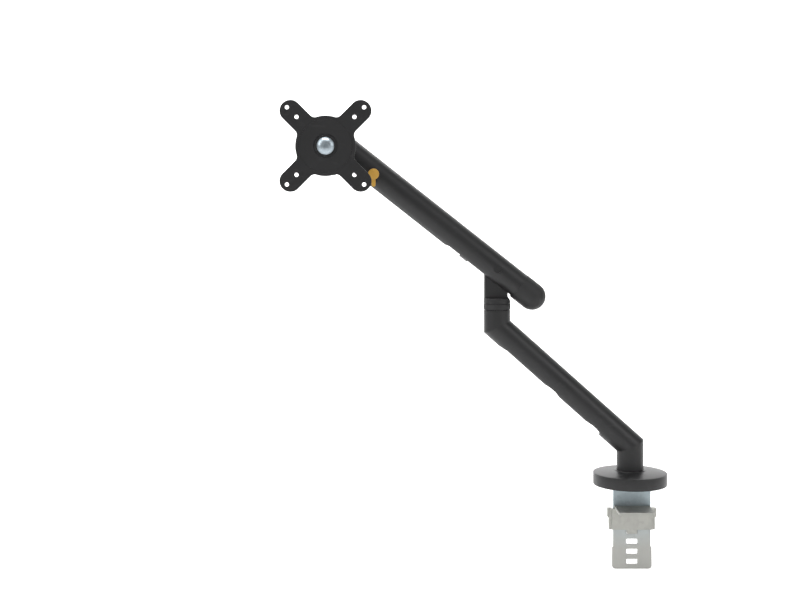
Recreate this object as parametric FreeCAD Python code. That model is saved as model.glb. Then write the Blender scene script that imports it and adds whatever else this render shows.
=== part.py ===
import FreeCAD, Part
import math
import os

# Monitor arm for the rear edge of a desk. Millimetres and degrees, +Z up.
# The origin is on the desk's surface, on the axis of the post. The screen faces -Y,
# the lower link and the upper arm lie in the XZ plane and lead towards -X.

# Driving dimensions --------------------------------------------------------------

# fits and gaps
RUNNING = 0.06            # radial clearance of a shaft that turns in its bush
LOOSE = 0.35              # gap round a part that passes through another freely
SNAP = 0.2                # gap beside a cover that clips in

# base
PAD_THICK = 2.0
PLATE_RADIUS = 46.0
PLATE_THICK = 6.0
COVER_RADIUS = 49.0
COVER_RIM = 16.3          # height of the cover's rim above the desk
COVER_RISE = 2.8          # how far its dome stands above the rim
COVER_WALL = 2.0
COVER_NECK = 2.2          # width of the low ring round the link's foot
POST_RADIUS = 10.0
POST_FLANGE = 17.0
POST_FLANGE_THICK = 2.0
WASHER_THICK = 1.0
BUSH_WALL = 3.0
POST_BOLT_RADIUS = 5.0

# desk clamp
CLAMP_X = 5.5             # the clamp's middle, beside the post's axis
WEB_FACE = 16.0           # the desk's edge lies against this face of the ladder
WEB_THICK = 3.0
WEB_HALF = 25.25
FOOT_HALF = 26.7          # the ladder's wider lower end
FOOT_TOP = -88.6
LADDER_BOTTOM = -118.0
LADDER_TOP = 2.6
SLOT_WIDE = 15.2
SLOT_HIGH = 6.9
SLOT_PITCH = 13.6
SLOT_COUNT = 4
SLOT_FIRST = -67.4
JAW_TOP = -32.7           # clamping face, so desks up to about this thick
JAW_THICK = 3.4
JAW_REACH = 40.0
JAW_HALF = 24.0
LEG_HALF = 27.5
LEG_BOTTOM = -64.6
FLANGE_HALF = 31.0
FLANGE_BACK = 1.6         # the jaw's sides stand back from its leg's face
EAR_HALF = 33.0
EAR_BOTTOM = -48.0
DRAW_TRAVEL = 5.0
DRAW_SCREW_RADIUS = 4.0
DRAW_SCREW_X = 14.0
DRAW_SCREW_BACK = 7.0     # from the ladder's rear face to the screws' axes

# lower link
LINK_RADIUS = 17.75
LINK_LENGTH = 238.7       # bend to bend
LINK_SLOPE = 41.7
LINK_BEND_HEIGHT = 52.6
LINK_HEAD = 22.0          # from the upper bend to the top face
LINK_TROUGH_HALF = 11.5
LINK_TROUGH_START = 30.0  # measured down the slope from the upper bend
LINK_TROUGH_REST = 39.7   # full section left between the trough and the lower bend
LINK_COVER_STEP = 2.15    # the covers lie this far inside the link's own radius
LINK_COVER_SPLIT = 152.0
COVER_SHELL = 3.6
NOTCH_DEPTH = 1.9
NOTCH_LENGTH = 26.0
NOTCH_PLACES = (112.0, 186.0)
LINK_RAMP = 13.0          # slope from the full section down to the cover

# elbow
SPINDLE_RADIUS = 8.0
SPINDLE_NECK = 5.5        # the spindle's upper end, inside the thin neck
COLLAR_RADIUS = 18.0
COLLAR_RING = 7.5
COLLAR_GROOVE = 0.5
COLLAR_BASE = 7.1
NECK_HEIGHT = 39.3        # from the collar's top to the lift pivot
CHEEK_OUT = 6.8           # half the neck's thickness, outside and inside its fork
CHEEK_IN = 3.4
NECK_TAIL = 13.8          # the neck's tail side, cut back to clear the tube when it is fully up
NECK_RELIEF = 36.5        # where its chamfer starts, below the lift pivot
NECK_CHAMFER = (4.2, 6.8)

# upper arm
ARM_ANGLE = 38.25
LIFT_UP = 3.7             # how far the arm still rises above that, in degrees
ARM_LENGTH = 288.5        # lift pivot to wrist pivot
ARM_RADIUS = 18.0
ARM_WALL = 3.0
TAIL_SEAM = 37.5
TAIL_LENGTH = 22.0        # straight part of the tail cap
TAIL_PROUD = 0.45
NOSE = 12.5               # tube beyond the wrist pivot
NOSE_CAP = 3.0
PIVOT_RADIUS = 5.0
WRIST_PIN_RADIUS = 4.0
SPACER_RADIUS = 8.0
SPACER_GAP = 0.49         # from a spacer's outer rim to the tube's bore
REAR_SLOT = (-36.0, 38.0)
FRONT_SLOT_BACK = 37.0    # how far the wrist's slot runs back from its pivot
FRONT_SLOT_HALF = 12.6
ARM_TROUGH_START = 50.7
ARM_TROUGH_REST = 40.3    # full section left between the trough and the wrist pivot
ARM_TROUGH_HALF = 9.2
ARM_COVER_LIP = 0.8       # the cover's inside stands this far inside the tube's bore
ARM_NOTCH_END = 75.5
LINK_DROP = 11.0          # parallel link's pivots below the main ones
LINK_PIN_RADIUS = 2.5
LINK_EYE = 4.5
LINK_BAR_HIGH = 4.0
LINK_BAR_WIDE = 5.0
OPEN_PIVOT_GAP = 0.25     # round the link's front pin, where the linkage is opened

# counterbalance
ANCHOR_RISE = 8.5         # pull rod's anchor above the lift pivot
ANCHOR_PIN = 1.6
ANCHOR_EYE = 3.2
ANCHOR_BOSS = 3.8
ROD_RADIUS = 3.0
ROD_LINE = 3.6            # height of the rod's straight part above the tube's axis
ROD_BEND = 60.0
SPRING_START = 92.0
SPRING_END = 186.0
SPRING_OUTER = 8.6
SPRING_WIRE = 2.5
SPRING_TURNS = 13.0
SEAT_THICK = 4.0
CUP_THICK = 4.0
NUT_THICK = 6.0

# wrist and head
BARREL_RADIUS = 12.0
BARREL_TOP = 21.4         # below the wrist pivot
BARREL_BOTTOM = 37.4
PAN_SPINDLE_RADIUS = 6.0
YOKE_RADIUS = 13.0
YOKE_THICK = 10.0
PAN_NUT_THICK = 5.0
TILT_REACH = 38.0         # tilt axis in front of the pan axis
TILT_DROP = 16.4          # tilt axis below the wrist pivot
TILT_PIN_RADIUS = 4.0
TILT_BLOCK_HALF = 6.0
TILT_BLOCK_RADIUS = 9.0
EAR_IN = 7.0
EAR_OUT = 12.5
EAR_RADIUS = 6.0

# screen plate
PLATE_FACE = 61.0         # front face in front of the pan axis
VESA_THICK = 3.0
DISC_RADIUS = 39.3
VESA_TIP = 45.5
VESA_ARM_HALF = 14.1
VESA_FILLET = 8.0
VESA_WIDE = 100.0
VESA_NARROW = 75.0
VESA_HOLE = 2.75
RECESS_RADIUS = 16.0
RECESS_DEPTH = 1.8
RECESS_SLOPE = 1.4
BOLT_HEAD_RADIUS = 11.4
BOLT_HEAD_RISE = 4.8
BOLT_RADIUS = 4.0

# lift lock lever on the upper arm
LOCK_PLACE = 208.0        # from the lift pivot, along the tube
LOCK_LINE = -2.8          # from the tube's axis
LOCK_PAD_RADIUS = 7.3
LOCK_PAD_THICK = 3.3
LOCK_TAIL = 17.0
LOCK_TAIL_HALF = 2.65
LOCK_SHAFT = 3.0

# Places worked out from them -------------------------------------------------------

X, Y, Z = FreeCAD.Vector(1, 0, 0), FreeCAD.Vector(0, 1, 0), FreeCAD.Vector(0, 0, 1)
ORIGIN = FreeCAD.Vector(0, 0, 0)

plate_top = PAD_THICK + PLATE_THICK
foot_bottom = plate_top + POST_FLANGE_THICK + WASHER_THICK
post_top = LINK_BEND_HEIGHT - 7.6
slope = math.radians(LINK_SLOPE)
elbow_x = -LINK_LENGTH * math.cos(slope)
upper_bend = LINK_BEND_HEIGHT + LINK_LENGTH * math.sin(slope)
link_top = upper_bend + LINK_HEAD
ring_bottom = link_top + WASHER_THICK
ring_top = ring_bottom + COLLAR_RING
collar_top = ring_top + COLLAR_GROOVE + COLLAR_BASE
pivot = FreeCAD.Vector(elbow_x, 0, collar_top + NECK_HEIGHT)
angle = math.radians(ARM_ANGLE)
wrist = pivot + FreeCAD.Vector(-ARM_LENGTH * math.cos(angle), 0, ARM_LENGTH * math.sin(angle))
tilt = wrist + FreeCAD.Vector(0, -TILT_REACH, -TILT_DROP)
arm_bore = ARM_RADIUS - ARM_WALL
arm_cover_inner = arm_bore - ARM_COVER_LIP
link_cover_radius = LINK_RADIUS - LINK_COVER_STEP
arm_trough_end = ARM_LENGTH - ARM_TROUGH_REST
spacer_end = math.sqrt(arm_bore ** 2 - SPACER_RADIUS ** 2) - SPACER_GAP
link_trough_end = LINK_LENGTH - LINK_TROUGH_REST
nose_end = ARM_LENGTH + NOSE
anchor_u = ANCHOR_RISE * math.sin(angle)
anchor_w = ANCHOR_RISE * math.cos(angle)
link_u = -LINK_DROP * math.sin(angle)
link_w = -LINK_DROP * math.cos(angle)
screw_y = WEB_FACE + WEB_THICK + DRAW_SCREW_BACK
barrel_low = wrist.z - BARREL_BOTTOM
yoke_top = barrel_low - WASHER_THICK
yoke_low = yoke_top - YOKE_THICK
plate_back = -PLATE_FACE + VESA_THICK
flange_front = plate_back + WASHER_THICK
foot_screw_z = foot_bottom + 18.0
elbow_screw_z = link_top - 11.4


# Small shape helpers ---------------------------------------------------------------

def box(x0, x1, y0, y1, z0, z1):
    return Part.makeBox(x1 - x0, y1 - y0, z1 - z0, FreeCAD.Vector(x0, y0, z0))


def rod(radius, start, end):
    """A round bar from one point to another."""
    way = end - start
    return Part.makeCylinder(radius, way.Length, start, way)


def sleeve(outer, inner, start, end):
    return rod(outer, start, end).cut(rod(inner, start, end))


def across(radius, place, y0, y1):
    """A round bar along Y through a place in the XZ plane."""
    return rod(radius, FreeCAD.Vector(place.x, y0, place.z), FreeCAD.Vector(place.x, y1, place.z))


def pair_across(outer, inner, place, y0, y1):
    """Two like rings on an axis along Y, one each side of the XZ plane."""
    rings = []
    for side in (-1, 1):
        a, b = sorted((side * y0, side * y1))
        rings.append(across(outer, place, a, b).cut(across(inner, place, a, b)))
    return Part.makeCompound(rings)


def hexagon(width, start, end):
    """A hexagonal prism, width across its flats, standing on start along X, Y or Z."""
    way = end - start
    prism = Part.Face(Part.makePolygon([
        FreeCAD.Vector(math.cos(k * math.pi / 3), math.sin(k * math.pi / 3), 0) * (width / math.sqrt(3))
        for k in range(7)])).extrude(Z * way.Length)
    prism.Placement = FreeCAD.Placement(start, FreeCAD.Rotation(Z, way))
    return prism


def turned(points):
    """A solid turned about Z from (radius, height) points; three numbers more make an arc's middle."""
    edges = []
    last = None
    for point in points + points[:1]:
        here = FreeCAD.Vector(point[0], 0, point[1])
        if last is not None and here.distanceToPoint(last) > 1e-6:
            if len(point) == 4:
                middle = FreeCAD.Vector(point[2], 0, point[3])
                edges.append(Part.Arc(last, middle, here).toShape())
            else:
                edges.append(Part.makeLine(last, here))
        last = here
    return Part.Face(Part.Wire(edges)).revolve(ORIGIN, Z, 360)


def prism_xz(points, half):
    """A prism on an outline in the XZ plane, as deep as half each side."""
    corners = [FreeCAD.Vector(x, -half, z) for x, z in points + points[:1]]
    return Part.Face(Part.makePolygon(corners)).extrude(Y * (2 * half))


def on_arm(shape):
    """Moves a shape from the arm's own frame: x to the head, y to the screen side, z up."""
    placed = shape.copy()
    placed.rotate(ORIGIN, Z, 180)
    placed.rotate(ORIGIN, Y, ARM_ANGLE)
    placed.translate(pivot)
    return placed


def on_slope(shape):
    """Moves a shape from the lower link's frame: x down the slope from the upper bend, z up."""
    placed = shape.copy()
    placed.rotate(ORIGIN, Y, LINK_SLOPE)
    placed.translate(FreeCAD.Vector(elbow_x, 0, upper_bend))
    return placed


def vec(x, z):
    return FreeCAD.Vector(x, 0, z)


def mitred(points, radius):
    """A round bar through points in the XZ plane, mitred at each bend."""
    legs = []
    big = 8 * radius
    for k in range(len(points) - 1):
        a, b = points[k], points[k + 1]
        way = (b - a).normalize()
        before = radius * 2 if k else 0
        after = radius * 2 if k + 2 < len(points) else 0
        leg = rod(radius, a - way * before, b + way * after)
        if k:
            turn = (way + (a - points[k - 1]).normalize()).normalize()
            leg = leg.cut(half_space(a, -turn, big))
        if k + 2 < len(points):
            turn = (way + (points[k + 2] - b).normalize()).normalize()
            leg = leg.cut(half_space(b, turn, big))
        legs.append(leg)
    bar = legs[0]
    for leg in legs[1:]:
        bar = bar.fuse(leg)
    return bar.removeSplitter()


def half_space(point, way, size):
    """A big block whose face passes through a point, on the side that way points to."""
    block = box(-size, size, -size, size, 0, size)
    block.Placement = FreeCAD.Placement(point, FreeCAD.Rotation(Z, way))
    return block


def on_clamp(shape):
    """Moves a shape from the clamp's own middle plane to its place beside the post."""
    placed = shape.copy()
    placed.translate(X * CLAMP_X)
    return placed


def slot_tool(u0, u1, half):
    """What the slots in the arm's underside take away, in the arm's frame."""
    return box(u0, u1, -half, half, -2 * ARM_RADIUS, 0)


# Base ------------------------------------------------------------------------------

def desk_pad():
    pad = Part.makeCylinder(PLATE_RADIUS, PAD_THICK)
    return pad.cut(box(-60, 60, WEB_FACE - LOOSE, 60, -1, PAD_THICK + 1))


def screw_places(z):
    return [FreeCAD.Vector(CLAMP_X + side * DRAW_SCREW_X, screw_y, z) for side in (-1, 1)]


def base_plate():
    plate = Part.makeCylinder(PLATE_RADIUS, PLATE_THICK, Z * PAD_THICK)
    plate = plate.makeChamfer(0.8, [e for e in plate.Edges if e.BoundBox.ZMin > plate_top - 0.1])
    gap = LOOSE
    web = box(-WEB_HALF - gap, WEB_HALF + gap, WEB_FACE - gap, WEB_FACE + WEB_THICK + gap, -1, plate_top + 1)
    plate = plate.cut(on_clamp(web))
    plate = plate.cut(post_bolt_shape())
    for place in screw_places(0):
        plate = plate.cut(rod(DRAW_SCREW_RADIUS + LOOSE, place, place + Z * (plate_top + 1)))
    return plate


def post_bolt_shape():
    """Countersunk bolt from below, flush with the plate's underside."""
    cone = Part.makeCone(1.8 * POST_BOLT_RADIUS, POST_BOLT_RADIUS, 0.8 * POST_BOLT_RADIUS, Z * PAD_THICK)
    return cone.fuse(rod(POST_BOLT_RADIUS, Z * (PAD_THICK + 3), Z * (plate_top + 20)))


def post_bolt():
    socket = hexagon(6.0, Z * (PAD_THICK - 1), Z * (PAD_THICK + 2.5))
    return post_bolt_shape().cut(socket)


def swivel_post():
    groove = 1.5
    post = turned([
        (0, plate_top), (POST_FLANGE, plate_top), (POST_FLANGE, plate_top + POST_FLANGE_THICK),
        (POST_RADIUS, plate_top + POST_FLANGE_THICK), (POST_RADIUS, foot_screw_z - 2.1),
        (POST_RADIUS - groove, foot_screw_z - 2.1), (POST_RADIUS - groove, foot_screw_z + 2.1),
        (POST_RADIUS, foot_screw_z + 2.1), (POST_RADIUS, post_top - 1), (POST_RADIUS - 1, post_top),
        (0, post_top)])
    return post.cut(post_bolt_shape())


def foot_washer():
    low = plate_top + POST_FLANGE_THICK
    return sleeve(POST_FLANGE, POST_RADIUS + LOOSE, Z * low, Z * foot_bottom)


def base_cover():
    bore = LINK_RADIUS + 0.5
    rim = COVER_RIM
    top = rim + COVER_RISE
    return turned([
        (COVER_RADIUS, 0.5), (COVER_RADIUS, rim - 1.4),
        (COVER_RADIUS - 1.4, rim, COVER_RADIUS - 0.41, rim - 0.41),
        (bore + COVER_NECK, top, 0.5 * (COVER_RADIUS + bore) + 2, rim + 0.75 * COVER_RISE),
        (bore + COVER_NECK, top + 0.3), (bore + COVER_NECK - 0.3, top + 0.6), (bore, top + 0.6),
        (bore, top - COVER_WALL), (COVER_RADIUS - COVER_WALL - 2, rim - COVER_WALL),
        (COVER_RADIUS - COVER_WALL, rim - COVER_WALL - 2), (COVER_RADIUS - COVER_WALL, 0.5)])


# Desk clamp ------------------------------------------------------------------------

def clamp_ladder():
    back = WEB_FACE + WEB_THICK
    web = box(-WEB_HALF, WEB_HALF, WEB_FACE, back, FOOT_TOP, LADDER_TOP)
    foot = box(-FOOT_HALF, FOOT_HALF, WEB_FACE, back, LADDER_BOTTOM, FOOT_TOP)
    corners = [e for e in foot.Edges if e.BoundBox.YLength > 1 and e.BoundBox.ZMax < LADDER_BOTTOM + 1]
    ladder = web.fuse(foot.makeFillet(4.0, corners)).removeSplitter()
    for k in range(SLOT_COUNT):
        middle = SLOT_FIRST - k * SLOT_PITCH
        half = SLOT_HIGH / 2
        slot = box(-SLOT_WIDE / 2, SLOT_WIDE / 2, WEB_FACE - 1, back + 1, middle - half, middle + half)
        slot = slot.makeFillet(1.2, [e for e in slot.Edges if e.BoundBox.YLength > 1])
        ladder = ladder.cut(slot)
    return on_clamp(ladder)


def draw_block():
    back = WEB_FACE + WEB_THICK
    top = PAD_THICK - DRAW_TRAVEL - 4.0
    half = DRAW_SCREW_X + 8.0
    block = box(-half, half, back, back + 2 * DRAW_SCREW_BACK, top - 12, top)
    edges = [e for e in block.Edges if e.BoundBox.ZLength > 5 and e.BoundBox.YMin > back + 1]
    block = on_clamp(block.makeFillet(3.0, edges))
    for place in screw_places(top - 20):
        block = block.cut(rod(DRAW_SCREW_RADIUS + RUNNING, place, place + Z * 40))
    return block


def draw_screw(side):
    place = screw_places(0)[side > 0]
    head_low = plate_top + 0.05
    head = rod(6.5, place + Z * head_low, place + Z * (head_low + 5))
    head = head.makeChamfer(0.6, [e for e in head.Edges if e.BoundBox.ZMin > head_low + 4.9])
    shank = rod(DRAW_SCREW_RADIUS, place - Z * 30, place + Z * (head_low + 1))
    socket = hexagon(6.0, place + Z * (head_low + 1.8), place + Z * (head_low + 6))
    return head.fuse(shank).cut(socket)


def clamp_jaw():
    """Shelf under the desk, leg before the ladder, sides and ears round it, tongue through a slot."""
    leg_front = WEB_FACE - 3.0
    wrap = WEB_FACE + WEB_THICK + 4.0
    low = JAW_TOP - JAW_THICK
    jaw = box(-JAW_HALF, JAW_HALF, WEB_FACE - JAW_REACH, WEB_FACE, low, JAW_TOP)
    fronts = [e for e in jaw.Edges if e.BoundBox.ZLength > 1 and e.BoundBox.YMax < leg_front]
    jaw = jaw.makeFillet(3.0, fronts)
    jaw = jaw.fuse(box(-LEG_HALF, LEG_HALF, leg_front, WEB_FACE, LEG_BOTTOM, low))
    for side in (-1, 1):
        inner, outer = sorted((side * LEG_HALF, side * FLANGE_HALF))
        jaw = jaw.fuse(box(inner, outer, leg_front + FLANGE_BACK, wrap, LEG_BOTTOM, low))
        inner, outer = sorted((side * FLANGE_HALF, side * EAR_HALF))
        jaw = jaw.fuse(box(inner, outer, leg_front + FLANGE_BACK + 1, wrap - 1, EAR_BOTTOM, low))
    tongue = SLOT_WIDE / 2 - 1.0
    tip = SLOT_FIRST - SLOT_HIGH / 2 + 0.8
    jaw = jaw.fuse(box(-tongue, tongue, leg_front, WEB_FACE, tip, LEG_BOTTOM))
    jaw = jaw.fuse(box(-tongue, tongue, leg_front, wrap - 1, tip, tip + 3.2))
    return on_clamp(jaw.removeSplitter())


# Lower link ------------------------------------------------------------------------

def lower_link():
    body = mitred([vec(0, foot_bottom), vec(0, LINK_BEND_HEIGHT), vec(elbow_x, upper_bend),
                   vec(elbow_x, link_top)], LINK_RADIUS)
    half = LINK_TROUGH_HALF
    trough = box(LINK_TROUGH_START, link_trough_end, -half, half, -2 * LINK_RADIUS, LINK_RADIUS / 2)
    body = body.cut(on_slope(trough))
    start = LINK_TROUGH_START
    ramp = prism_xz([(start - LINK_RAMP, -LINK_RADIUS), (start, -link_cover_radius),
                     (start, -LINK_RADIUS - 3), (start - LINK_RAMP, -LINK_RADIUS - 3)], LINK_RADIUS)
    body = body.cut(on_slope(ramp))
    body = body.cut(rod(POST_RADIUS + BUSH_WALL, Z * 0, Z * (post_top + 1.5)))
    elbow = vec(elbow_x, link_top + 1)
    body = body.cut(rod(SPINDLE_RADIUS + BUSH_WALL, vec(elbow_x, upper_bend - 5.4), elbow))
    body = body.cut(grub_hole(0, foot_screw_z))
    return body.cut(grub_hole(elbow_x, elbow_screw_z))


def grub_hole(x, z):
    return across(3.0, vec(x, z), POST_RADIUS - 3, LINK_RADIUS + 2)


def grub_screw(x, z, shaft):
    """Screw through the link's wall whose plain tip stands in the shaft's groove."""
    screw = across(2.9, vec(x, z), shaft + 1.2, LINK_RADIUS - 1.0)
    tip = across(1.6, vec(x, z), shaft - 0.8, shaft + 1.3)
    socket = hexagon(2.5, FreeCAD.Vector(x, LINK_RADIUS - 3.5, z), FreeCAD.Vector(x, LINK_RADIUS, z))
    return screw.fuse(tip).cut(socket)


def foot_bush():
    bush = sleeve(POST_RADIUS + BUSH_WALL, POST_RADIUS + RUNNING, Z * foot_bottom, Z * post_top)
    return bush.cut(across(3.2, vec(0, foot_screw_z), 0, 40))


def elbow_bush():
    bush = sleeve(SPINDLE_RADIUS + BUSH_WALL, SPINDLE_RADIUS + RUNNING, vec(elbow_x, upper_bend - 4),
                  vec(elbow_x, link_top))
    return bush.cut(across(3.2, vec(elbow_x, elbow_screw_z), 0, 40))


def elbow_washer():
    bottom, top = vec(elbow_x, link_top), vec(elbow_x, ring_bottom)
    return sleeve(LINK_RADIUS - 1.2, SPINDLE_RADIUS + LOOSE, bottom, top)


def link_cover(start, end, notch):
    """Curved lid over the cable trough, with two clip rails and a finger notch."""
    half = LINK_TROUGH_HALF - SNAP
    outer = link_cover_radius
    lid = sleeve(outer, outer - COVER_SHELL, X * start, X * end)
    lid = lid.common(box(start, end, -half, half, -outer, -8.0))
    for side in (-1, 1):
        inner, edge = sorted((side * (half - 1.6), side * half))
        lid = lid.fuse(box(start, end, inner, edge, -9.6, -2.0))
    scoop = (NOTCH_LENGTH / 2) ** 2 / (2 * NOTCH_DEPTH) + NOTCH_DEPTH / 2
    middle = FreeCAD.Vector(notch, 0, -outer + NOTCH_DEPTH - scoop)
    return on_slope(lid.cut(across(scoop, middle, -half - 1, half + 1)))


# Elbow and knuckle -----------------------------------------------------------------

def elbow_spindle():
    low = upper_bend - 3.0
    groove = 1.5
    spindle = turned([
        (0, low), (SPINDLE_RADIUS - 1, low), (SPINDLE_RADIUS, low + 1), (SPINDLE_RADIUS, elbow_screw_z - 2.1),
        (SPINDLE_RADIUS - groove, elbow_screw_z - 2.1), (SPINDLE_RADIUS - groove, elbow_screw_z + 2.1),
        (SPINDLE_RADIUS, elbow_screw_z + 2.1), (SPINDLE_RADIUS, collar_top - 1), (SPINDLE_NECK, collar_top - 1),
        (SPINDLE_NECK, pivot.z - 30), (0, pivot.z - 30)])
    spindle.translate(X * elbow_x)
    return spindle


def collar_ring():
    ring = turned([(SPINDLE_RADIUS, ring_bottom), (COLLAR_RADIUS - 0.4, ring_bottom),
                   (COLLAR_RADIUS, ring_bottom + 0.4), (COLLAR_RADIUS, ring_top - 0.4),
                   (COLLAR_RADIUS - 0.4, ring_top), (SPINDLE_RADIUS, ring_top)])
    ring.translate(X * elbow_x)
    return ring


def knuckle():
    base_low = ring_top + COLLAR_GROOVE
    body = turned([(0, ring_top), (COLLAR_RADIUS - 1.4, ring_top), (COLLAR_RADIUS - 1.4, base_low),
                   (COLLAR_RADIUS, base_low), (COLLAR_RADIUS, collar_top - 0.6), (COLLAR_RADIUS - 0.6, collar_top),
                   (0, collar_top)])
    neck_top = pivot.z - 5.0
    neck = Part.makeCylinder(COLLAR_RADIUS - 0.3, neck_top - collar_top + 1, Z * (collar_top - 1))
    neck = neck.common(box(-30, 30, -CHEEK_OUT, CHEEK_OUT, 0, neck_top))
    body = body.fuse(neck)
    body.translate(X * elbow_x)
    out, down = NECK_CHAMFER
    relief = prism_xz([(NECK_TAIL, 0), (NECK_TAIL, -NECK_RELIEF), (NECK_TAIL + out, -NECK_RELIEF - down),
                       (NECK_TAIL + 12, -NECK_RELIEF - down), (NECK_TAIL + 12, 0)], 30)
    relief.translate(pivot)
    body = body.cut(relief)
    tail = on_arm(rod(ARM_RADIUS + TAIL_PROUD + LOOSE, X * -3 * TAIL_SEAM, X * (REAR_SLOT[0] + LOOSE)))
    tail.rotate(pivot, Y, LIFT_UP)
    body = body.cut(tail)
    body = body.fuse(box(elbow_x - 9, elbow_x + 9, -CHEEK_OUT, CHEEK_OUT, pivot.z - 16, pivot.z))
    body = body.fuse(across(9.0, pivot, -CHEEK_OUT, CHEEK_OUT))
    anchor = pivot + Z * ANCHOR_RISE
    body = body.fuse(across(ANCHOR_BOSS, anchor, -CHEEK_OUT, CHEEK_OUT))
    boss = box(-ANCHOR_BOSS, ANCHOR_BOSS, -CHEEK_OUT, CHEEK_OUT, pivot.z, anchor.z)
    boss.translate(X * elbow_x)
    body = body.fuse(boss)
    body = body.removeSplitter()
    body = body.cut(box(elbow_x - 20, elbow_x + 7, -CHEEK_IN, CHEEK_IN, pivot.z - 27, pivot.z + 20))
    body = body.cut(box(elbow_x + 6, elbow_x + 20, -CHEEK_IN, CHEEK_IN, pivot.z - 14, pivot.z + 20))
    body = body.cut(across(PIVOT_RADIUS + 1.5, pivot, -20, 20))
    body = body.cut(across(ANCHOR_PIN, anchor, -20, 20))
    body = body.cut(across(LINK_PIN_RADIUS, pivot - Z * LINK_DROP, -20, 20))
    return body.cut(elbow_spindle())


def pivot_bushes():
    return pair_across(PIVOT_RADIUS + 1.5, PIVOT_RADIUS + RUNNING, pivot, CHEEK_IN, CHEEK_OUT)


def rear_link_pin():
    return across(LINK_PIN_RADIUS, pivot - Z * LINK_DROP, -CHEEK_OUT, CHEEK_OUT)


def anchor_pin():
    return across(ANCHOR_PIN, pivot + Z * ANCHOR_RISE, -CHEEK_OUT, CHEEK_OUT)


# Upper arm -------------------------------------------------------------------------

def pivot_pin():
    return across(PIVOT_RADIUS, pivot, 1.2 - ARM_RADIUS, ARM_RADIUS - 1.2)


def pivot_spacers():
    return pair_across(SPACER_RADIUS, PIVOT_RADIUS, pivot, CHEEK_OUT + 0.15, spacer_end)


def wrist_pin():
    return across(WRIST_PIN_RADIUS, wrist, 1.2 - ARM_RADIUS, ARM_RADIUS - 1.2)


def wrist_spacers():
    return pair_across(SPACER_RADIUS, WRIST_PIN_RADIUS, wrist, CHEEK_OUT + 0.15, spacer_end)


def lock_centre():
    """Where the lock lever turns, in the arm's frame."""
    return vec(LOCK_PLACE, LOCK_LINE)


def arm_tube():
    tube = rod(ARM_RADIUS, X * -TAIL_SEAM, X * nose_end)
    tube = tube.fuse(across(LOCK_SHAFT + 2.4, lock_centre(), arm_bore + 1, ARM_RADIUS + 1.6))
    tube = tube.cut(rod(arm_bore, X * (-TAIL_SEAM - 1), X * (nose_end + 1)))
    tube = tube.cut(slot_tool(REAR_SLOT[0], REAR_SLOT[1], CHEEK_OUT + LOOSE))
    tube = tube.cut(slot_tool(ARM_LENGTH - FRONT_SLOT_BACK, nose_end + 9, FRONT_SLOT_HALF))
    tube = tube.cut(slot_tool(ARM_TROUGH_START, arm_trough_end, ARM_TROUGH_HALF))
    tube = tube.cut(across(PIVOT_RADIUS, vec(0, 0), -30, 30))
    tube = tube.cut(across(WRIST_PIN_RADIUS, vec(ARM_LENGTH, 0), -30, 30))
    return on_arm(tube.cut(across(LOCK_SHAFT + RUNNING, lock_centre(), 5, 30)))


def arm_cover():
    start = ARM_TROUGH_START + SNAP
    end = arm_trough_end - SNAP
    half = ARM_TROUGH_HALF - SNAP
    lid = sleeve(ARM_RADIUS, arm_cover_inner, X * start, X * end)
    lid = lid.common(box(start, end, -half, half, -ARM_RADIUS, 0))
    lips = rod(arm_bore - 0.05, X * (start + 30), X * (end - 10))
    rail_low = -math.sqrt(arm_cover_inner ** 2 - (half - 1.4) ** 2) - 0.6
    lip_low = -math.sqrt(arm_bore ** 2 - (half + 1.8) ** 2) - 1.0
    for side in (-1, 1):
        inner, edge = sorted((side * (half - 1.4), side * (half + 1.8)))
        lid = lid.fuse(lips.common(box(start, end, inner, edge, lip_low, lip_low + 2)))
        inner, edge = sorted((side * (half - 1.4), side * half))
        lid = lid.fuse(box(start + 30, end - 10, inner, edge, rail_low, lip_low + 2))
    floor = NOTCH_DEPTH - ARM_RADIUS
    notch = prism_xz([(start - 1, floor), (ARM_NOTCH_END - 6, floor), (ARM_NOTCH_END, -ARM_RADIUS),
                      (ARM_NOTCH_END, -ARM_RADIUS - 2), (start - 1, -ARM_RADIUS - 2)], 2 * half)
    return on_arm(lid.cut(notch).removeSplitter())


def tail_cap():
    outer = ARM_RADIUS + TAIL_PROUD
    inner = arm_bore + 0.5
    seam, ball = -TAIL_SEAM, -TAIL_SEAM - TAIL_LENGTH
    cap = rod(outer, X * ball, X * seam).fuse(Part.makeSphere(outer, X * ball))
    cap = cap.cut(rod(inner, X * ball, X * (seam - 2)).fuse(Part.makeSphere(inner, X * ball)))
    cap = cap.fuse(rod(arm_bore - 0.05, X * (seam - 1), X * (seam + 7.5)))
    cap = cap.cut(rod(arm_bore - 2.2, X * (seam - 5), X * (seam + 9)))
    return on_arm(cap.cut(slot_tool(seam + 0.1, seam + 9, CHEEK_OUT + 3)).removeSplitter())


def nose_cap():
    cap = rod(ARM_RADIUS, X * nose_end, X * (nose_end + NOSE_CAP))
    cap = cap.makeFillet(1.5, [e for e in cap.Edges if e.BoundBox.XMin > nose_end + 1])
    spigot = sleeve(arm_bore - 0.05, arm_bore - 2.2, X * (nose_end - 3.5), X * (nose_end + 1))
    cap = cap.fuse(spigot)
    return on_arm(cap.cut(slot_tool(nose_end - 9, nose_end + 9, FRONT_SLOT_HALF)))


def spring_seat():
    start = SPRING_START - SEAT_THICK
    seat = rod(arm_bore - 0.05, X * start, X * SPRING_START)
    seat = seat.cut(box(start - 1, SPRING_START + 1, -20, 20, -20, link_w + LINK_BAR_HIGH / 2 + 1.1))
    hole = rod(ROD_RADIUS + 2.6, vec(start - 1, ROD_LINE + 0.7), vec(SPRING_START + 1, ROD_LINE + 0.7))
    return on_arm(seat.cut(hole))


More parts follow.
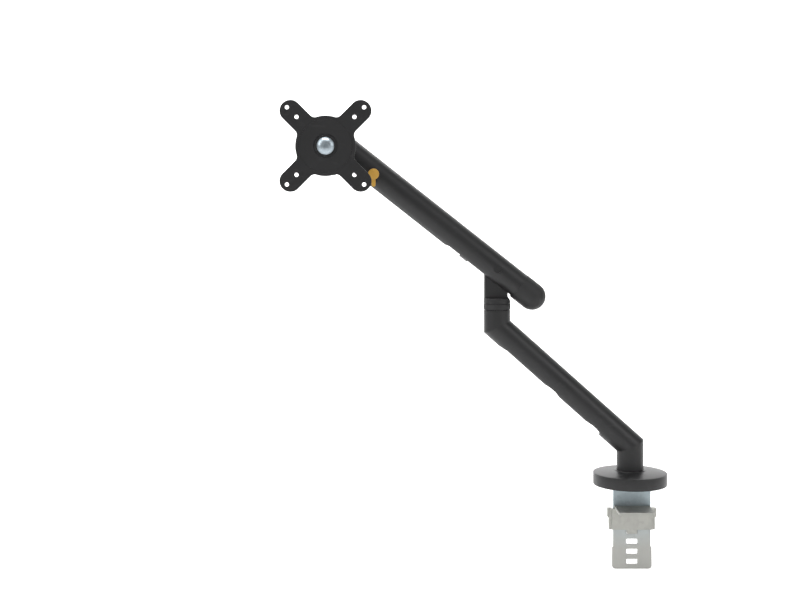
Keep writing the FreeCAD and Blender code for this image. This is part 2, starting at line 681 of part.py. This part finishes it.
def lift_spring():
    wire = SPRING_WIRE / 2
    mean = SPRING_OUTER - wire
    length = SPRING_END - SPRING_START - SPRING_WIRE
    path = Part.makeHelix(length / SPRING_TURNS, length, mean)
    circle = Part.Wire(Part.makeCircle(wire, X * mean, Y))
    coil = Part.Wire(path).makePipeShell([circle], True, True)
    coil.rotate(ORIGIN, Y, 90)
    coil.translate(vec(SPRING_START + wire, ROD_LINE))
    return on_arm(coil)


# Parallel link and pull rod --------------------------------------------------------

def parallel_link():
    """Flat bar with an eye at each end, parallel to the tube and as long as it between pivots."""
    rear, front = vec(link_u, link_w), vec(link_u + ARM_LENGTH, link_w)
    half = LINK_BAR_WIDE / 2
    high = LINK_BAR_HIGH / 2
    bar = box(rear.x, front.x, -half, half, link_w - high, link_w + high)
    for eye in (rear, front):
        bar = bar.fuse(across(LINK_EYE, eye, -half, half))
    bar = bar.removeSplitter()
    bar = bar.cut(across(LINK_PIN_RADIUS + RUNNING, rear, -9, 9))
    return on_arm(bar.cut(across(LINK_PIN_RADIUS + OPEN_PIVOT_GAP, front, -9, 9)))


def pull_rod():
    """Eye on the knuckle's anchor pin, a joggle, then a straight threaded rod through the spring."""
    eye = vec(anchor_u, anchor_w)
    bend = vec(ROD_BEND, ROD_LINE)
    end = vec(SPRING_END + CUP_THICK + NUT_THICK + 4, ROD_LINE)
    half = CHEEK_IN - 0.6
    thin = 1.7
    body = rod(thin, eye, bend).fuse(Part.makeSphere(thin, bend)).fuse(rod(thin, bend, bend + X * 8))
    body = body.fuse(rod(ROD_RADIUS, bend + X * 6, end)).fuse(across(ANCHOR_EYE, eye, -half, half))
    return on_arm(body.cut(across(ANCHOR_PIN + RUNNING, eye, -9, 9)))


def spring_cup():
    start = vec(SPRING_END, ROD_LINE)
    return on_arm(sleeve(SPRING_OUTER, ROD_RADIUS, start, start + X * CUP_THICK))


def tension_nut():
    start = vec(SPRING_END + CUP_THICK, ROD_LINE)
    nut = hexagon(11.0, start, start + X * NUT_THICK)
    return on_arm(nut.cut(rod(ROD_RADIUS, start - X, start + X * (NUT_THICK + 1))))


# Wrist and head --------------------------------------------------------------------

def wrist_block():
    x = wrist.x
    body = Part.makeCylinder(BARREL_RADIUS, BARREL_BOTTOM - BARREL_TOP, vec(x, barrel_low))
    rims = [e for e in body.Edges if e.BoundBox.ZLength < 0.1]
    body = body.makeChamfer(0.8, rims)
    body = body.fuse(box(x - 9, x + 9, -CHEEK_OUT, CHEEK_OUT, wrist.z - BARREL_TOP - 1, wrist.z))
    body = body.fuse(across(9.0, wrist, -CHEEK_OUT, CHEEK_OUT)).removeSplitter()
    body = body.cut(box(x - 5, x + 14, -CHEEK_IN, CHEEK_IN, wrist.z - 26, wrist.z + 12))
    body = body.cut(across(WRIST_PIN_RADIUS + RUNNING, wrist, -20, 20))
    body = body.cut(across(LINK_PIN_RADIUS, wrist - Z * LINK_DROP, -20, 20))
    return body.cut(pan_spindle())


def front_link_pin():
    return across(LINK_PIN_RADIUS, wrist - Z * LINK_DROP, -CHEEK_OUT, CHEEK_OUT)


def pan_spindle():
    return rod(PAN_SPINDLE_RADIUS, vec(wrist.x, yoke_low - PAN_NUT_THICK), vec(wrist.x, wrist.z - 27))


def pan_washer():
    return sleeve(BARREL_RADIUS - 1, PAN_SPINDLE_RADIUS, vec(wrist.x, yoke_top + 0.05), vec(wrist.x, barrel_low))


def pan_nut():
    low = vec(wrist.x, yoke_low - PAN_NUT_THICK)
    nut = hexagon(18.0, low, low + Z * (PAN_NUT_THICK - 0.05))
    return nut.cut(pan_spindle())


def pan_yoke():
    x, y = wrist.x, -TILT_REACH
    body = rod(YOKE_RADIUS, vec(x, yoke_low), vec(x, yoke_top))
    body = body.fuse(box(x - 9, x + 9, y, -6, yoke_low, yoke_top))
    body = body.fuse(box(x - EAR_OUT, x + EAR_OUT, y - EAR_RADIUS, y + EAR_RADIUS, yoke_low,
                         tilt.z - TILT_BLOCK_RADIUS - 2))
    for side in (-1, 1):
        inner, outer = sorted((x + side * EAR_IN, x + side * EAR_OUT))
        body = body.fuse(box(inner, outer, y - EAR_RADIUS, y + EAR_RADIUS, yoke_low, tilt.z))
        body = body.fuse(rod(EAR_RADIUS, FreeCAD.Vector(inner, y, tilt.z), FreeCAD.Vector(outer, y, tilt.z)))
    body = body.removeSplitter()
    body = body.cut(tilt_bar(TILT_PIN_RADIUS, -20, 20))
    return body.cut(rod(PAN_SPINDLE_RADIUS + RUNNING, vec(x, 0), vec(x, wrist.z)))


def tilt_bar(radius, x0, x1):
    """A round bar on the tilt axis between two places measured from its middle."""
    return rod(radius, tilt + X * x0, tilt + X * x1)


def tilt_pin():
    return tilt_bar(TILT_PIN_RADIUS, -EAR_OUT - 2, EAR_OUT + 6).fuse(tilt_bar(7.0, -EAR_OUT - 3.5, -EAR_OUT))


def tilt_nut():
    start = tilt + X * EAR_OUT
    return hexagon(13.0, start, start + X * 5).cut(tilt_bar(TILT_PIN_RADIUS, 0, 40))


def tilt_block():
    half = TILT_BLOCK_HALF
    x, z = tilt.x, tilt.z
    body = tilt_bar(TILT_BLOCK_RADIUS, -half, half)
    front = FreeCAD.Vector(x, flange_front, z)
    body = body.fuse(box(x - half, x + half, flange_front + 1, tilt.y, z - 8, z + 8))
    flange = rod(RECESS_RADIUS, front, front + Y * 3)
    body = body.fuse(flange).removeSplitter()
    body = body.cut(rod(BOLT_RADIUS, front - Y, front + Y * 11))
    return body.cut(tilt_bar(TILT_PIN_RADIUS + RUNNING, -20, 20))


def tilt_washers():
    rings = []
    for side in (-1, 1):
        a, b = sorted((side * TILT_BLOCK_HALF, side * (EAR_IN - 0.05)))
        rings.append(tilt_bar(EAR_RADIUS + 1, a, b).cut(tilt_bar(TILT_PIN_RADIUS + LOOSE, a, b)))
    return Part.makeCompound(rings)


def plate_washer():
    back = FreeCAD.Vector(tilt.x, flange_front, tilt.z)
    return sleeve(RECESS_RADIUS - 1, BOLT_RADIUS + LOOSE, back, back - Y * (WASHER_THICK - 0.05))


def centre_bolt():
    """Domed bolt on which the screen plate turns, with a hexagon socket."""
    rise, radius = BOLT_HEAD_RISE, BOLT_HEAD_RADIUS
    slant = radius * math.sqrt(0.5)
    dome = turned([(0, 0), (radius - 0.4, 0), (radius, 0.4), (radius, 1.2),
                   (0, rise, slant, 1.2 + (rise - 1.2) * math.sqrt(0.5))])
    seat = -PLATE_FACE + RECESS_DEPTH - 0.05
    dome.rotate(ORIGIN, X, 90)
    centre = FreeCAD.Vector(tilt.x, seat, tilt.z)
    dome.translate(centre)
    shank = rod(BOLT_RADIUS, centre - Y * 0.5, FreeCAD.Vector(tilt.x, flange_front + 10, tilt.z))
    socket = hexagon(5.0, centre - Y * (rise - 2.6), centre - Y * (rise + 1))
    return dome.fuse(shank).cut(socket)


def vesa_outline():
    """Round disc with four rounded arms, in the plate's own plane."""
    disc = Part.makeCylinder(DISC_RADIUS, VESA_THICK)
    plate = disc
    tip = VESA_TIP * math.sqrt(2)
    for k in range(4):
        arm = box(0, tip, -VESA_ARM_HALF, VESA_ARM_HALF, 0, VESA_THICK)
        arm = arm.fuse(Part.makeCylinder(VESA_ARM_HALF, VESA_THICK, X * tip))
        arm.rotate(ORIGIN, Z, 45 + 90 * k)
        plate = plate.fuse(arm)
    plate = plate.removeSplitter()
    corners = []
    for edge in plate.Edges:
        reach = math.hypot(edge.CenterOfMass.x, edge.CenterOfMass.y)
        if edge.BoundBox.ZLength > VESA_THICK - 0.1 and reach < DISC_RADIUS + 0.5:
            corners.append(edge)
    return plate.makeFillet(VESA_FILLET, corners)


def vesa_plate():
    plate = vesa_outline()
    rim = [e for e in plate.Edges if e.BoundBox.ZLength < 0.1]
    plate = plate.makeFillet(0.7, rim)
    floor = VESA_THICK - RECESS_DEPTH
    plate = plate.cut(Part.makeCone(RECESS_RADIUS - RECESS_SLOPE, RECESS_RADIUS, RECESS_DEPTH, Z * floor))
    plate = plate.cut(Part.makeCylinder(BOLT_RADIUS + LOOSE, 9, Z * -1))
    groove = DISC_RADIUS - 4.2
    ring = Part.makeCylinder(groove, 1, Z * (VESA_THICK - 0.4)).cut(Part.makeCylinder(groove - 0.8, 1, Z))
    plate = plate.cut(ring.cut(Part.makeCylinder(groove - 0.8, 9)))
    for spacing in (VESA_WIDE, VESA_NARROW):
        for sx in (-1, 1):
            for sy in (-1, 1):
                hole = Part.makeCylinder(VESA_HOLE, 9, FreeCAD.Vector(sx * spacing / 2, sy * spacing / 2, -1))
                plate = plate.cut(hole)
    plate.rotate(ORIGIN, X, 90)
    plate.translate(FreeCAD.Vector(tilt.x, plate_back, tilt.z))
    return plate


# Lift lock -------------------------------------------------------------------------

def lock_axis():
    """A point on the lock lever's axis, on the arm's middle plane."""
    return pivot + FreeCAD.Vector(
        -LOCK_PLACE * math.cos(angle) + LOCK_LINE * math.sin(angle), 0,
        LOCK_PLACE * math.sin(angle) + LOCK_LINE * math.cos(angle))


def lock_lever():
    """Round thumb pad with a short tail that hangs straight down, on a shaft through the tube's wall."""
    centre = lock_axis()
    back = -ARM_RADIUS - 1.6 - 0.1
    front = back - LOCK_PAD_THICK
    pad = across(LOCK_PAD_RADIUS, centre, front, back)
    pad = pad.makeFillet(1.0, [e for e in pad.Edges if e.BoundBox.YMax < front + 0.1])
    tail = box(centre.x - LOCK_TAIL_HALF, centre.x + LOCK_TAIL_HALF, front + 0.7, back - 0.4,
               centre.z - LOCK_TAIL + LOCK_TAIL_HALF, centre.z)
    end = across(LOCK_TAIL_HALF, centre - Z * (LOCK_TAIL - LOCK_TAIL_HALF), front + 0.7, back - 0.4)
    lever = pad.fuse(tail).fuse(end).removeSplitter()
    return lever.fuse(across(LOCK_SHAFT, centre, back, 7 - ARM_RADIUS))


def lock_clip():
    place = lock_axis()
    inner = 2.6 - arm_bore
    ring = across(LOCK_SHAFT + 2, place, inner, inner + 1).cut(across(LOCK_SHAFT, place, inner, inner + 1))
    return ring


# Writing the pieces ----------------------------------------------------------------

def pieces():
    found = {
        "desk_pad": desk_pad(), "base_plate": base_plate(), "swivel_post": swivel_post(),
        "post_bolt": post_bolt(), "foot_washer": foot_washer(), "base_cover": base_cover(),
        "clamp_ladder": clamp_ladder(), "draw_block": draw_block(), "clamp_jaw": clamp_jaw(),
        "draw_screw_left": draw_screw(-1), "draw_screw_right": draw_screw(1),
        "lower_link": lower_link(), "foot_bush": foot_bush(), "elbow_bush": elbow_bush(),
        "elbow_washer": elbow_washer(),
        "foot_grub_screw": grub_screw(0, foot_screw_z, POST_RADIUS),
        "elbow_grub_screw": grub_screw(elbow_x, elbow_screw_z, SPINDLE_RADIUS),
        "upper_link_cover": link_cover(LINK_TROUGH_START + SNAP, LINK_COVER_SPLIT - SNAP, NOTCH_PLACES[0]),
        "lower_link_cover": link_cover(LINK_COVER_SPLIT + SNAP, link_trough_end - SNAP, NOTCH_PLACES[1]),
        "elbow_spindle": elbow_spindle(), "collar_ring": collar_ring(), "knuckle": knuckle(),
        "pivot_bushes": pivot_bushes(), "rear_link_pin": rear_link_pin(), "anchor_pin": anchor_pin(),
        "arm_tube": arm_tube(), "arm_cover": arm_cover(), "tail_cap": tail_cap(), "nose_cap": nose_cap(),
        "pivot_pin": pivot_pin(), "pivot_spacers": pivot_spacers(), "wrist_pin": wrist_pin(),
        "wrist_spacers": wrist_spacers(), "spring_seat": spring_seat(), "lift_spring": lift_spring(),
        "parallel_link": parallel_link(), "pull_rod": pull_rod(), "spring_cup": spring_cup(),
        "tension_nut": tension_nut(),
        "wrist_block": wrist_block(), "front_link_pin": front_link_pin(), "pan_spindle": pan_spindle(),
        "pan_washer": pan_washer(), "pan_nut": pan_nut(), "pan_yoke": pan_yoke(), "tilt_pin": tilt_pin(),
        "tilt_nut": tilt_nut(), "tilt_block": tilt_block(), "tilt_washers": tilt_washers(),
        "plate_washer": plate_washer(), "centre_bolt": centre_bolt(), "vesa_plate": vesa_plate(),
        "lock_lever": lock_lever(), "lock_clip": lock_clip(),
    }
    return found


os.makedirs("parts", exist_ok=True)
for name, shape in pieces().items():
    assert shape.isValid() and shape.Volume > 0, name
    print(name, len(shape.Solids), round(shape.Volume, 1))
    shape.exportStep("parts/" + name + ".step")
print("lift pivot", pivot, "wrist", wrist, "tilt", tilt, "lock", lock_axis())
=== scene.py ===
import math
import bmesh
import bpy
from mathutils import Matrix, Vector


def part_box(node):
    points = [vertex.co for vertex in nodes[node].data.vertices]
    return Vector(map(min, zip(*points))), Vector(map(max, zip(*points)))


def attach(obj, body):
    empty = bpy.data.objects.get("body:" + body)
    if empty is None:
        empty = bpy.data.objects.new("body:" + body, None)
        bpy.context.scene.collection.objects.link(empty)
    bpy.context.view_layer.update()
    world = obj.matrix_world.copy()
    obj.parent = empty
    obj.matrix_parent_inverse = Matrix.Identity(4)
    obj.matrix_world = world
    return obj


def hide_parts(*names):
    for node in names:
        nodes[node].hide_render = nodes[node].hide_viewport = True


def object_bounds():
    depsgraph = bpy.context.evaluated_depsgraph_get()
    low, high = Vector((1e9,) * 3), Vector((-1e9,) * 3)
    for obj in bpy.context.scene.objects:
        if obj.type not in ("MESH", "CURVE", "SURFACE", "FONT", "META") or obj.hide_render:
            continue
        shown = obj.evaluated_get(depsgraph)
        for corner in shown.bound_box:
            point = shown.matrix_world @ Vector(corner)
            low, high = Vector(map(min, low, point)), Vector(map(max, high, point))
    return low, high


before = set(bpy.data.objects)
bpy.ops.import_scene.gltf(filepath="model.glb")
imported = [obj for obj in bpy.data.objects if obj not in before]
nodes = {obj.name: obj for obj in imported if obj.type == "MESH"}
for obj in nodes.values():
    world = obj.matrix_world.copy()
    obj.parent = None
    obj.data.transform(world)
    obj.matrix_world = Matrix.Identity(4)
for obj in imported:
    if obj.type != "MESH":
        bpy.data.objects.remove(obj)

cad_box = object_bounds()


# --- Base cover ---------------------------------------------------------------------
# A moulded disc that hides the swivel post's flange and the two draw screws. It is
# powder-coated like the arm, has a shallow dome, a rolled rim and a low neck ring,
# and lifts up the link's foot to reach the screws.

class Value:
    """A shader socket. Sums and products of it add Math nodes."""

    def __init__(self, tree, socket):
        self.tree = tree
        self.socket = socket

    def node(self, kind, inputs=(), output=0, stops=(), **settings):
        """Any other node: its settings first, then the values or links of its sockets."""
        made = self.tree.nodes.new(kind)
        for name, value in settings.items():
            setattr(made, name, value)
        for k, (place, colour) in enumerate(stops):
            ramp = made.color_ramp.elements
            stop = ramp[k] if k < 2 else ramp.new(place)
            stop.position = place
            stop.color = colour
        for name, value in dict(inputs).items():
            if isinstance(value, Value):
                self.tree.links.new(value.socket, made.inputs[name])
            else:
                made.inputs[name].default_value = value
        return Value(self.tree, made.outputs[output])

    def maths(self, operation, first, second):
        return self.node("ShaderNodeMath", {0: first, 1: second}, operation=operation)

    def __add__(self, other):
        return self.maths("ADD", self, other)

    def __mul__(self, other):
        return self.maths("MULTIPLY", self, other)

    __radd__ = __add__
    __rmul__ = __mul__

    def mix(self, low, high):
        """Goes from one colour to another as this value goes from 0 to 1."""
        return self.node("ShaderNodeMix", {0: self, 6: low, 7: high}, output=2, data_type="RGBA")

    def noise(self, scale, detail=3.0, stretch=(1, 1, 1)):
        """Cloudy values from 0 to 1 over these coordinates; scale is in lumps a metre."""
        placed = self.node("ShaderNodeMapping", {"Vector": self, "Scale": stretch})
        return self.node("ShaderNodeTexNoise", {"Vector": placed, "Scale": scale, "Detail": detail})

    def between(self, low, high):
        """Stretches this value so that low becomes 0 and high 1."""
        return self.node("ShaderNodeMapRange", {"Value": self, "From Min": low, "From Max": high})

    def bump(self, depth, strength, edge=0.0004):
        """A bumped normal over edges that are broken by a small radius in metres."""
        broken = self.node("ShaderNodeBevel", {"Radius": edge}, samples=6)
        return self.node("ShaderNodeBump", {"Height": self, "Normal": broken, "Distance": depth,
                                            "Strength": strength})


def finish_material(name, metallic=0.0, **constants):
    """A new material: its shader, and its Object coordinates to build on."""
    made = bpy.data.materials.new(name)
    made.use_nodes = True
    shader = made.node_tree.nodes["Principled BSDF"]
    shader.inputs["Metallic"].default_value = metallic
    for socket, value in constants.items():
        shader.inputs[socket.replace("_", " ")].default_value = value
    start = Value(made.node_tree, None)
    coordinates = start.node("ShaderNodeTexCoord", output=3)
    return made, shader, coordinates


def connect(shader, **sockets):
    for name, value in sockets.items():
        value.tree.links.new(value.socket, shader.inputs[name.replace("_", " ")])


def powder_coat():
    """Black satin powder coat: orange-peel skin, a fine grain, faint handling marks."""
    made, shader, place = finish_material("powder_coat_finish", Specular_IOR_Level=0.36)
    peel = place.noise(420.0, 2.0)
    grain = place.noise(2600.0, 4.0)
    cloud = place.noise(14.0, 4.0)
    rub = place.noise(60.0, 6.0, (1, 1, 4)).between(0.60, 0.78)
    colour = cloud.mix((0.008, 0.008, 0.0085, 1), (0.014, 0.014, 0.0145, 1))
    colour = (rub * 0.35).mix(colour, (0.036, 0.036, 0.037, 1))
    skin = peel * 0.6 + grain * 0.4
    connect(shader, Base_Color=colour, Roughness=0.36 + cloud * 0.10 + rub * 0.07,
            Normal=skin.bump(0.00012, 0.55))
    return made


def paint(obj, material):
    obj.data.materials.clear()
    obj.data.materials.append(material)


def new_piece(name, bm, body, slot, material, *replaced):
    """Puts a finished mesh in the scene, on its body, in place of its CAD nodes."""
    mesh = bpy.data.meshes.new(name)
    bmesh.ops.recalc_face_normals(bm, faces=bm.faces)
    bm.to_mesh(mesh)
    bm.free()
    mesh.shade_smooth()
    piece = bpy.data.objects.new(name, mesh)
    bpy.context.collection.objects.link(piece)
    paint(piece, material)
    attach(piece, body)
    if replaced:
        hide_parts(*replaced)
    return piece


def turned(points, centre, steps):
    """A solid turned about Z through centre from (radius, height) points."""
    bm = bmesh.new()
    ring = [bm.verts.new(centre + Vector((r, 0, z))) for r, z in points]
    edges = [bm.edges.new(pair) for pair in zip(ring, ring[1:] + ring[:1])]
    bmesh.ops.spin(bm, geom=ring + edges, cent=centre, axis=(0, 0, 1), angle=math.tau, steps=steps,
                   use_merge=True)
    bmesh.ops.remove_doubles(bm, verts=bm.verts, dist=1e-6)
    bmesh.ops.recalc_face_normals(bm, faces=bm.faces)
    return bm


def soften(bm, width, segments, sharp):
    """Rounds the edges where two faces meet at more than sharp degrees."""
    edges = [e for e in bm.edges if len(e.link_faces) == 2 and e.calc_face_angle(0) > math.radians(sharp)]
    bmesh.ops.bevel(bm, geom=edges, offset=width, affect="EDGES", segments=segments, profile=0.5,
                    material=-1, clamp_overlap=True)
    return bm


black = powder_coat()
low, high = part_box("base_cover")
radius = 0.049
bore = 0.01825
neck_width = 0.0021
rim_round = 0.0012
dome_rise = 0.0028
dome_steps = 8
rim = high.z - 0.0034
inner = radius - 0.002
dome = []
for step in range(dome_steps + 1):
    share = step / dome_steps
    dome.append((radius - rim_round - 0.0271 * share, rim + 0.0027 * math.sin(share * math.pi / 2)))
bm = turned([(radius, low.z), (radius, rim - 0.0004)] + dome + [
    (bore + neck_width, rim + dome_rise), (bore + neck_width, high.z - 0.0003),
    (bore + neck_width - 0.0003, high.z), (bore, high.z), (bore, high.z - 0.003),
    (inner - 0.002, rim - 0.0022), (inner, rim - 0.0042), (inner, low.z)], Vector((0, 0, 0)), steps=160)
soften(bm, 0.0003, 3, 35)
new_piece("cover_shell", bm, "cover", "powder_coat", black, "base_cover")


# --- Camera -------------------------------------------------------------------------
# A level camera a little above the desk, in front of the screen plate.

camera = bpy.data.objects.new("camera", bpy.data.cameras.new("camera"))
camera.location = (-0.3083, -1.743, 0.3809)
camera.rotation_euler = (math.pi / 2, 0, 0)
camera.data.lens = 58.5
camera.data.sensor_width = 36
camera.data.shift_y = -0.125
camera.data.clip_end = 30
bpy.context.collection.objects.link(camera)
bpy.context.scene.camera = camera


# --- Studio -------------------------------------------------------------------------
# A pale seamless sweep below the clamp and behind the arm, soft boxes above, to the left
# and to the right, and one behind that lights the sweep. The sweep also glows a little.

def pale_paper():
    made, shader, place = finish_material("pale_paper", Roughness=0.9, Specular_IOR_Level=0.1,
                                          Emission_Color=(1, 1, 1, 1), Emission_Strength=0.42)
    fibre = place.noise(30.0, 5.0)
    connect(shader, Base_Color=fibre.mix((0.90, 0.90, 0.90, 1), (0.93, 0.93, 0.93, 1)))
    return made


floor_z = cad_box[0][2] - 0.002
bend = 0.8
bm = bmesh.new()
line = [(-0.4, -4.0, floor_z), (-0.4, 1.4, floor_z)]
for step in range(1, 13):
    turn = step / 12 * math.pi / 2
    line.append((-0.4, 1.4 + bend * math.sin(turn), floor_z + bend * (1 - math.cos(turn))))
line.append((-0.4, 1.4 + bend, floor_z + 4.0))
verts = [bm.verts.new(p) for p in line]
edges = [bm.edges.new(pair) for pair in zip(verts, verts[1:])]
grown = bmesh.ops.extrude_edge_only(bm, edges=edges)["geom"]
bmesh.ops.translate(bm, verts=[v for v in grown if isinstance(v, bmesh.types.BMVert)], vec=(4, 0, 0))
bmesh.ops.translate(bm, verts=verts, vec=(-4, 0, 0))
mesh = bpy.data.meshes.new("sweep")
bm.to_mesh(mesh)
bm.free()
mesh.shade_smooth()
sweep = bpy.data.objects.new("sweep", mesh)
bpy.context.collection.objects.link(sweep)
paint(sweep, pale_paper())


def soft_box(name, place, aim, size, watts):
    light = bpy.data.lights.new(name, "AREA")
    light.shape = "RECTANGLE"
    light.size, light.size_y = size
    light.energy = watts
    box = bpy.data.objects.new(name, light)
    box.location = place
    box.rotation_euler = (Vector(aim) - Vector(place)).to_track_quat("-Z", "Y").to_euler()
    bpy.context.collection.objects.link(box)


soft_box("top_box", (-0.5, -0.7, 2.1), (-0.25, 0.0, 0.2), (1.6, 0.5), 26)
soft_box("left_box", (-1.9, -1.0, 1.3), (-0.3, 0, 0.2), (1.0, 1.4), 16)
soft_box("right_box", (1.5, -1.3, 1.1), (-0.2, 0, 0.2), (0.9, 1.4), 12)
soft_box("back_box", (-0.3, 1.2, 1.9), (-0.3, 2.2, 0.6), (2.4, 0.8), 40)
world = bpy.data.worlds.new("studio")
world.use_nodes = True
world.node_tree.nodes["Background"].inputs["Color"].default_value = (1.0, 1.0, 1.0, 1)
world.node_tree.nodes["Background"].inputs["Strength"].default_value = 0.38
bpy.context.scene.world = world
bpy.context.scene.view_settings.view_transform = "Standard"


# --- Coated castings and tubes ------------------------------------------------------
# The lower link and the knuckle are aluminium castings, the upper arm is a drawn tube
# and the screen plate is pressed steel. All carry the same powder coat, and their
# machined edges are broken before coating, which catches a thin line of light.

for node in ("lower_link", "knuckle", "arm_tube", "vesa_plate", "pan_yoke", "tilt_block", "wrist_block",
             "pivot_pin", "wrist_pin"):
    paint(nodes[node], black)


# --- Moulded plastic ----------------------------------------------------------------
# The tail cap, nose cap, cable covers, collar ring and elbow washer are moulded in
# black, duller than the coat, with a spark-eroded grain that scatters the light.

def moulded_black():
    made, shader, place = finish_material("moulded_black", Specular_IOR_Level=0.34)
    grain = place.node("ShaderNodeTexVoronoi", {"Vector": place, "Scale": 1500.0})
    cloud = place.noise(18.0, 4.0)
    scuff = place.noise(90.0, 6.0, (1, 4, 1)).between(0.62, 0.80)
    colour = cloud.mix((0.010, 0.010, 0.0105, 1), (0.017, 0.017, 0.0175, 1))
    colour = (scuff * 0.4).mix(colour, (0.042, 0.042, 0.042, 1))
    connect(shader, Base_Color=colour, Roughness=0.50 + cloud * 0.10 + scuff * 0.06,
            Normal=grain.bump(0.00010, 0.5))
    return made


plastic = moulded_black()
for node in ("tail_cap", "nose_cap", "arm_cover", "upper_link_cover", "lower_link_cover", "collar_ring",
             "elbow_washer"):
    paint(nodes[node], plastic)


# --- Zinc-plated clamp --------------------------------------------------------------
# The ladder is cut from 3 mm strip and bright zinc plated with a blue passivate, the
# jaw is folded from the same strip with a duller, warmer plating.

def plated(name, dark, light, rough, spangle, foot=None, metal=1.0):
    """Plated steel. A foot colour takes over towards the lower end of the clamp."""
    made, shader, place = finish_material(name, metallic=metal)
    crystal = place.node("ShaderNodeTexVoronoi", {"Vector": place, "Scale": spangle}, output=1)
    tone = place.node("ShaderNodeSeparateColor", {"Color": crystal})
    cloud = place.noise(22.0, 5.0)
    drawn = place.noise(260.0, 3.0, (1, 1, 0.06))
    blend = cloud * 0.6 + tone * 0.25 + drawn * 0.15
    colour = blend.mix(dark, light)
    if foot:
        height = place.node("ShaderNodeSeparateXYZ", {"Vector": place}, output=2)
        colour = height.between(-0.090, -0.030).mix(foot, colour)
    connect(shader, Base_Color=colour, Roughness=rough + cloud * 0.14 + drawn * 0.06,
            Normal=(drawn * 0.6 + cloud * 0.4).bump(0.00008, 0.4))
    return made


blue_zinc = plated("blue_zinc_plate", (0.28, 0.34, 0.37, 1), (0.48, 0.55, 0.58, 1), 0.40, 240.0,
                   foot=(0.36, 0.36, 0.34, 1), metal=0.6)
jaw_zinc = plated("jaw_plate", (0.27, 0.27, 0.25, 1), (0.43, 0.43, 0.40, 1), 0.42, 160.0,
                  metal=0.55)
bright_zinc = plated("bright_zinc_plate", (0.20, 0.24, 0.27, 1), (0.46, 0.52, 0.56, 1), 0.26, 500.0)
ground = plated("ground_steel_finish", (0.36, 0.36, 0.37, 1), (0.56, 0.56, 0.57, 1), 0.24, 900.0)
wire = plated("spring_wire", (0.10, 0.10, 0.11, 1), (0.20, 0.20, 0.22, 1), 0.32, 900.0)
for node in ("base_plate", "draw_block", "clamp_ladder"):
    paint(nodes[node], blue_zinc)
paint(nodes["clamp_jaw"], jaw_zinc)
for node in ("centre_bolt", "pan_nut", "tilt_nut", "tilt_pin", "draw_screw_left", "draw_screw_right",
             "post_bolt", "tension_nut"):
    paint(nodes[node], bright_zinc)
for node in ("swivel_post", "elbow_spindle", "rear_link_pin", "front_link_pin",
             "anchor_pin", "pan_spindle", "parallel_link", "pull_rod", "spring_cup", "spring_seat",
             "lock_clip", "foot_grub_screw", "elbow_grub_screw"):
    paint(nodes[node], ground)
paint(nodes["lift_spring"], wire)


# --- Lock lever ---------------------------------------------------------------------
# A yellow moulded thumb lever with a fine grain and a gently clouded colour.

def yellow_moulding():
    made, shader, place = finish_material("yellow_moulding", Specular_IOR_Level=0.5)
    grain = place.noise(1800.0, 3.0)
    cloud = place.noise(120.0, 4.0)
    colour = cloud.mix((0.36, 0.19, 0.024, 1), (0.48, 0.28, 0.048, 1))
    connect(shader, Base_Color=colour, Roughness=0.40 + cloud * 0.12, Normal=grain.bump(0.00006, 0.4))
    return made


paint(nodes["lock_lever"], yellow_moulding())


# --- Bushes, washers and pad --------------------------------------------------------
# Bearing pieces are natural acetal. The desk pad is a thin sheet of ribbed rubber.

def acetal():
    made, shader, place = finish_material("acetal")
    cloud = place.noise(60.0, 4.0)
    connect(shader, Base_Color=cloud.mix((0.62, 0.61, 0.57, 1), (0.76, 0.75, 0.71, 1)),
            Roughness=0.38 + cloud * 0.15, Normal=cloud.bump(0.00005, 0.3))
    return made


def sheet_rubber():
    made, shader, place = finish_material("sheet_rubber", Specular_IOR_Level=0.3)
    ribs = place.node("ShaderNodeTexWave", {"Vector": place, "Scale": 160.0, "Distortion": 0.0})
    cloud = place.noise(50.0, 5.0)
    connect(shader, Base_Color=cloud.mix((0.018, 0.018, 0.018, 1), (0.035, 0.034, 0.033, 1)),
            Roughness=0.75 + cloud * 0.15, Normal=ribs.bump(0.0002, 0.5))
    return made


bearing = acetal()
for node in ("foot_bush", "elbow_bush", "foot_washer", "pivot_bushes", "pivot_spacers",
             "wrist_spacers", "pan_washer", "tilt_washers", "plate_washer"):
    paint(nodes[node], bearing)
paint(nodes["desk_pad"], sheet_rubber())
